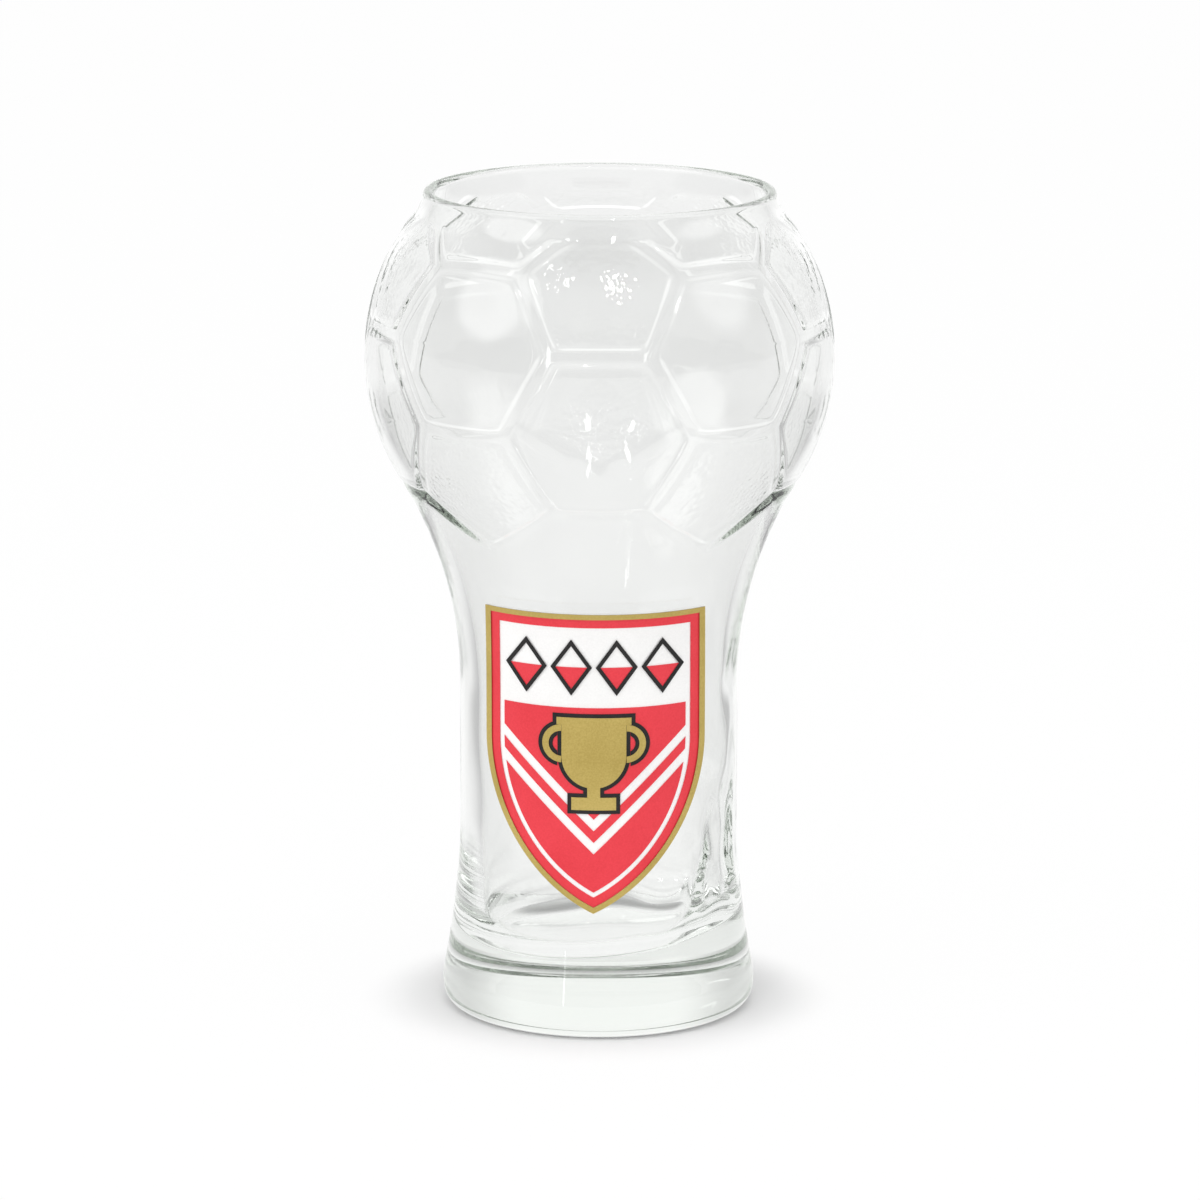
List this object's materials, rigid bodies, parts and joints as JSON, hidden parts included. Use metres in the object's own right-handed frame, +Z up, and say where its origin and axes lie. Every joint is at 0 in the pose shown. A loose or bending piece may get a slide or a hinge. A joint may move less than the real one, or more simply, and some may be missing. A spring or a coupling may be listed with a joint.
{
  "type": "beer tumbler",
  "caption": "Clear glass beer tumbler with a ball-shaped bowl patterned in football panels, a waisted stem, a thick solid foot and a printed shield badge, for serving a drink.",
  "frame": {"origin": "on the table, on the axis of the glass, under the middle of its foot", "axes": "+Z up along the axis of the glass, -Y towards the badge on the front, +X to the right seen from the front"},
  "size_m": [0.095, 0.095, 0.1687],
  "materials": {
    "clear_glass": "clear, fire-polished, with moulded panels",
    "white_enamel": "fired screen print, satin",
    "red_enamel": "fired screen print, satin",
    "black_enamel": "fired screen print, satin",
    "gold_enamel": "fired gold-coloured screen print, satin"
  },
  "bodies": {
    "root": {"glass_body": "clear_glass", "badge_white_ground": "white_enamel", "badge_red_field": "red_enamel", "badge_black_outlines": "black_enamel", "badge_gold_trim": "gold_enamel"}
  },
  "joints": []
}
